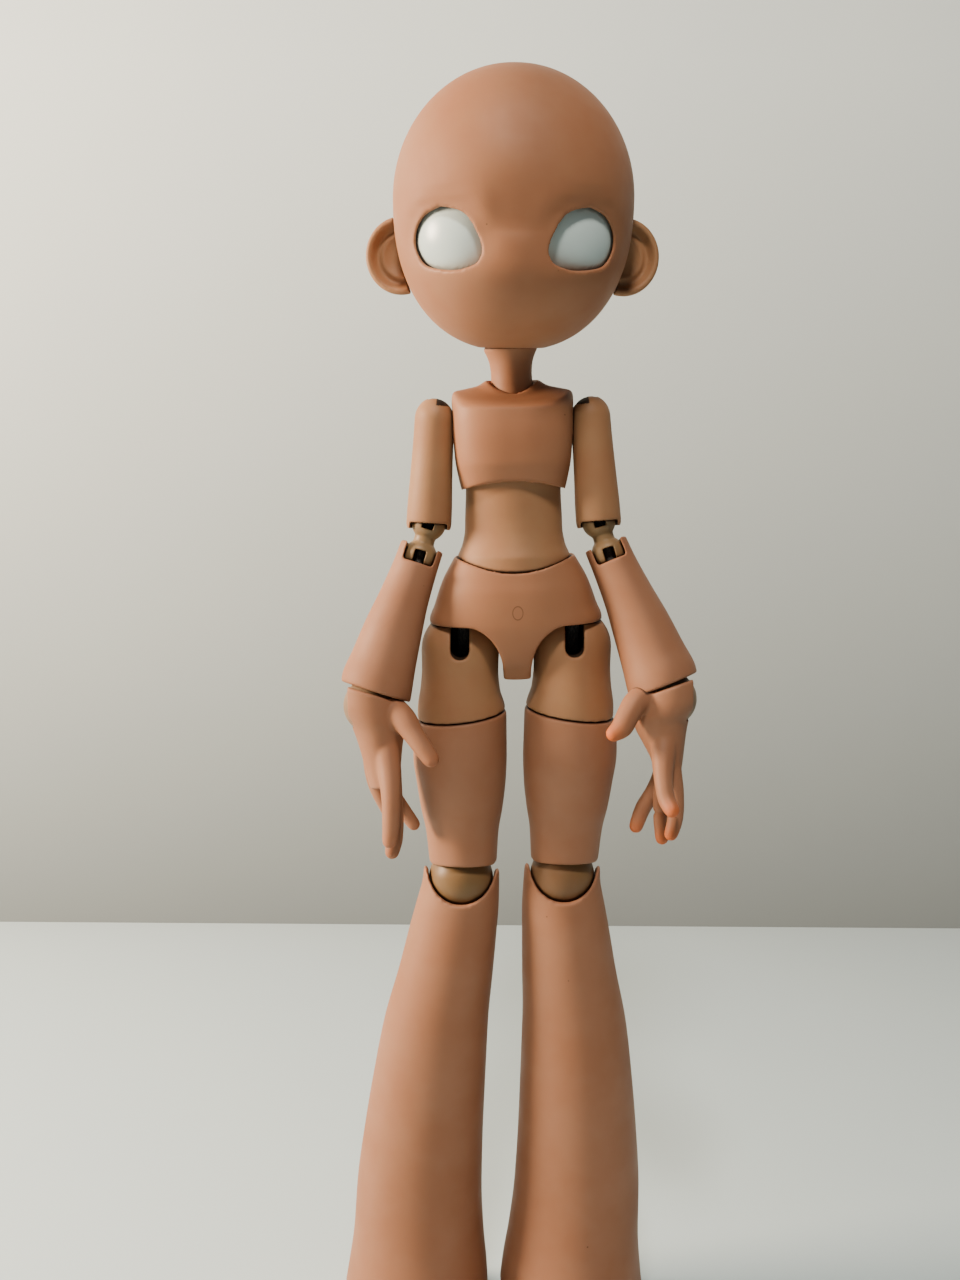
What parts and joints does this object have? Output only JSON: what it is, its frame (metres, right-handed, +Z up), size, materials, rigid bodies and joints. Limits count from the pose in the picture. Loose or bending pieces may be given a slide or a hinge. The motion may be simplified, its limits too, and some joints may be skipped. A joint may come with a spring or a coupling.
{
  "type": "ball jointed doll",
  "caption": "Standing doll of separate cast resin pieces strung on elastic cord, with a large open-eyed head, a cupped waist, double knees and elbows, and bell-shaped shins.",
  "frame": {"origin": "middle of the space the doll takes up, on the floor under its soles", "axes": "+Z up, the doll faces -Y, +X towards the doll's left hand"},
  "size_m": [0.0942, 0.0727, 0.3435],
  "materials": {
    "resin_face": "satin",
    "resin_limb": "satin",
    "resin_light": "satin",
    "resin_link": "satin",
    "eye": "satin",
    "cord": "matte",
    "wire": "satin",
    "magnet": "polished"
  },
  "bodies": {
    "pelvis": {"pelvis": "resin_face", "cord_pelvis": "cord"},
    "waist": {"waist": "resin_light", "cord_waist": "cord"},
    "chest": {"chest": "resin_face", "cord_chest": "cord", "cord_arms": "cord"},
    "neck": {"neck": "resin_face"},
    "neck_hook": {"neck_hook": "wire"},
    "head": {"head_front": "resin_face", "magnet_front": "magnet", "eye_left": "eye", "eye_right": "eye"},
    "head_cap": {"head_back": "resin_light", "magnet_back": "magnet", "ear_left": "resin_light", "ear_right": "resin_light"},
    "shoulder_cord_left": {"cord_shoulder_left": "cord"},
    "upper_arm_left": {"upper_arm_left": "resin_light", "cord_upper_arm_left": "cord"},
    "elbow_left": {"elbow_link_left": "resin_link", "cord_elbow_left": "cord"},
    "forearm_left": {"forearm_left": "resin_limb", "cord_forearm_left": "cord"},
    "wrist_left": {"wrist_ball_left": "resin_link", "hand_hook_left": "wire"},
    "hand_left": {"hand_left": "resin_limb"},
    "hip_cord_left": {"cord_hip_slot_left": "cord"},
    "hip_left": {"hip_left": "resin_light", "cord_hip_left": "cord"},
    "thigh_left": {"thigh_left": "resin_limb", "cord_thigh_left": "cord"},
    "knee_left": {"knee_link_left": "resin_link", "cord_knee_left": "cord"},
    "shin_left": {"shin_left": "resin_limb", "cord_shin_left": "cord"},
    "foot_left": {"foot_left": "resin_limb", "foot_hook_left": "wire"},
    "shoulder_cord_right": {"cord_shoulder_right": "cord"},
    "upper_arm_right": {"upper_arm_right": "resin_light", "cord_upper_arm_right": "cord"},
    "elbow_right": {"elbow_link_right": "resin_link", "cord_elbow_right": "cord"},
    "forearm_right": {"forearm_right": "resin_limb", "cord_forearm_right": "cord"},
    "wrist_right": {"wrist_ball_right": "resin_link", "hand_hook_right": "wire"},
    "hand_right": {"hand_right": "resin_limb"},
    "hip_cord_right": {"cord_hip_slot_right": "cord"},
    "hip_right": {"hip_right": "resin_light", "cord_hip_right": "cord"},
    "thigh_right": {"thigh_right": "resin_limb", "cord_thigh_right": "cord"},
    "knee_right": {"knee_link_right": "resin_link", "cord_knee_right": "cord"},
    "shin_right": {"shin_right": "resin_limb", "cord_shin_right": "cord"},
    "foot_right": {"foot_right": "resin_limb", "foot_hook_right": "wire"}
  },
  "joints": [
    {"name": "waist_lean", "type": "hinge", "parent": "pelvis", "child": "waist", "pos_m": [-0.00236, 0.0082, 0.23592], "axis": [0, 1, 0], "range_deg": [-3, 3]},
    {"name": "chest_bend", "type": "hinge", "parent": "waist", "child": "chest", "pos_m": [-0.00251, 0.0082, 0.24312], "axis": [0.9998, 0, 0.0209], "range_deg": [-12, 7]},
    {"name": "neck_tilt", "type": "hinge", "parent": "chest", "child": "neck", "pos_m": [-0.00296, 0.0082, 0.26442], "axis": [0, 1, 0], "range_deg": [-12, 12]},
    {"name": "head_nod", "type": "hinge", "parent": "neck", "child": "neck_hook", "pos_m": [-0.00328, 0.0082, 0.27051], "axis": [1, 0, 0], "range_deg": [-20, 20]},
    {"name": "head_turn", "type": "hinge", "parent": "neck_hook", "child": "head", "pos_m": [-0.00328, 0.0082, 0.27051], "axis": [0, 0, 1], "range_deg": [-80, 80]},
    {"name": "head_cap_off", "type": "slide", "parent": "head", "child": "head_cap", "axis": [0, 1, 0], "range_m": [0, 0.04]},
    {"name": "shoulder_swing_left", "type": "hinge", "parent": "chest", "child": "shoulder_cord_left", "pos_m": [0.01736, 0.0082, 0.25904], "axis": [0.9998, 0, 0.0209], "range_deg": [-100, 6]},
    {"name": "shoulder_raise_left", "type": "hinge", "parent": "shoulder_cord_left", "child": "upper_arm_left", "pos_m": [0.01736, 0.0082, 0.25904], "axis": [0, -1, 0], "range_deg": [0, 90]},
    {"name": "elbow_upper_left", "type": "hinge", "parent": "upper_arm_left", "child": "elbow_left", "pos_m": [0.01969, 0.00633, 0.23241], "axis": [-0.9511, -0.0157, -0.3085], "range_deg": [0, 45]},
    {"name": "elbow_lower_left", "type": "hinge", "parent": "elbow_left", "child": "forearm_left", "pos_m": [0.02233, 0.00515, 0.22431], "axis": [-0.9247, -0.0262, -0.3798], "range_deg": [0, 45]},
    {"name": "wrist_turn_left", "type": "hinge", "parent": "forearm_left", "child": "wrist_left", "pos_m": [0.03791, -0.00315, 0.18774], "axis": [-0.3768, 0.2045, 0.9034], "range_deg": [-25, 90]},
    {"name": "wrist_bend_left", "type": "hinge", "parent": "wrist_left", "child": "hand_left", "pos_m": [0.03791, -0.00315, 0.18774], "axis": [-0.054, -0.9785, 0.199], "range_deg": [-3, 8]},
    {"name": "hip_spread_left", "type": "hinge", "parent": "pelvis", "child": "hip_cord_left", "pos_m": [0.01359, 0.0082, 0.1994], "axis": [0, -1, 0], "range_deg": [0, 10]},
    {"name": "hip_swing_left", "type": "hinge", "parent": "hip_cord_left", "child": "hip_left", "pos_m": [0.01359, 0.0082, 0.1994], "axis": [1, 0, 0], "range_deg": [-22, 5]},
    {"name": "thigh_turn_left", "type": "hinge", "parent": "hip_left", "child": "thigh_left", "pos_m": [0.01359, 0.0082, 0.1818], "axis": [-0.124, 0, -0.9923], "range_deg": [-24, 0]},
    {"name": "knee_upper_left", "type": "hinge", "parent": "thigh_left", "child": "knee_left", "pos_m": [0.01259, 0.0082, 0.14591], "axis": [0.9986, 0, -0.0523], "range_deg": [0, 50]},
    {"name": "knee_lower_left", "type": "hinge", "parent": "knee_left", "child": "shin_left", "pos_m": [0.01207, 0.0082, 0.13592], "axis": [0.9995, 0, -0.0314], "range_deg": [0, 50]},
    {"name": "ankle_tilt_left", "type": "hinge", "parent": "shin_left", "child": "foot_left", "pos_m": [0.01734, 0.0082, 0.04271], "axis": [1, 0, 0], "range_deg": [-12, 12]},
    {"name": "shoulder_swing_right", "type": "hinge", "parent": "chest", "child": "shoulder_cord_right", "pos_m": [-0.02303, 0.0082, 0.25819], "axis": [0.9998, 0, 0.0209], "range_deg": [-100, 6]},
    {"name": "shoulder_raise_right", "type": "hinge", "parent": "shoulder_cord_right", "child": "upper_arm_right", "pos_m": [-0.02303, 0.0082, 0.25819], "axis": [0, 1, 0], "range_deg": [0, 90]},
    {"name": "elbow_upper_right", "type": "hinge", "parent": "upper_arm_right", "child": "elbow_right", "pos_m": [-0.02425, 0.00633, 0.23149], "axis": [-0.9632, 0.0157, 0.2684], "range_deg": [0, 45]},
    {"name": "elbow_lower_right", "type": "hinge", "parent": "elbow_right", "child": "forearm_right", "pos_m": [-0.02655, 0.00515, 0.22329], "axis": [-0.9553, 0.0195, 0.2949], "range_deg": [0, 45]},
    {"name": "wrist_turn_right", "type": "hinge", "parent": "forearm_right", "child": "wrist_right", "pos_m": [-0.03871, -0.00319, 0.18546], "axis": [-0.2925, -0.2057, -0.9339], "range_deg": [-25, 90]},
    {"name": "wrist_bend_right", "type": "hinge", "parent": "wrist_right", "child": "hand_right", "pos_m": [-0.03871, -0.00319, 0.18546], "axis": [-0.0424, 0.9784, -0.2022], "range_deg": [-3, 8]},
    {"name": "hip_spread_right", "type": "hinge", "parent": "pelvis", "child": "hip_cord_right", "pos_m": [-0.01599, 0.0082, 0.19848], "axis": [0, 1, 0], "range_deg": [0, 7]},
    {"name": "hip_swing_right", "type": "hinge", "parent": "hip_cord_right", "child": "hip_right", "pos_m": [-0.01599, 0.0082, 0.19848], "axis": [1, 0, 0], "range_deg": [-18.5, 5]},
    {"name": "thigh_turn_right", "type": "hinge", "parent": "hip_right", "child": "thigh_right", "pos_m": [-0.01599, 0.0082, 0.18088], "axis": [-0.124, 0, 0.9923], "range_deg": [-24, 0]},
    {"name": "knee_upper_right", "type": "hinge", "parent": "thigh_right", "child": "knee_right", "pos_m": [-0.01499, 0.0082, 0.14498], "axis": [0.9986, 0, -0.0523], "range_deg": [0, 50]},
    {"name": "knee_lower_right", "type": "hinge", "parent": "knee_right", "child": "shin_right", "pos_m": [-0.01552, 0.0082, 0.13499], "axis": [0.9995, 0, -0.0314], "range_deg": [0, 50]},
    {"name": "ankle_tilt_right", "type": "hinge", "parent": "shin_right", "child": "foot_right", "pos_m": [-0.02663, 0.0082, 0.04229], "axis": [1, 0, 0], "range_deg": [-12, 12]}
  ]
}
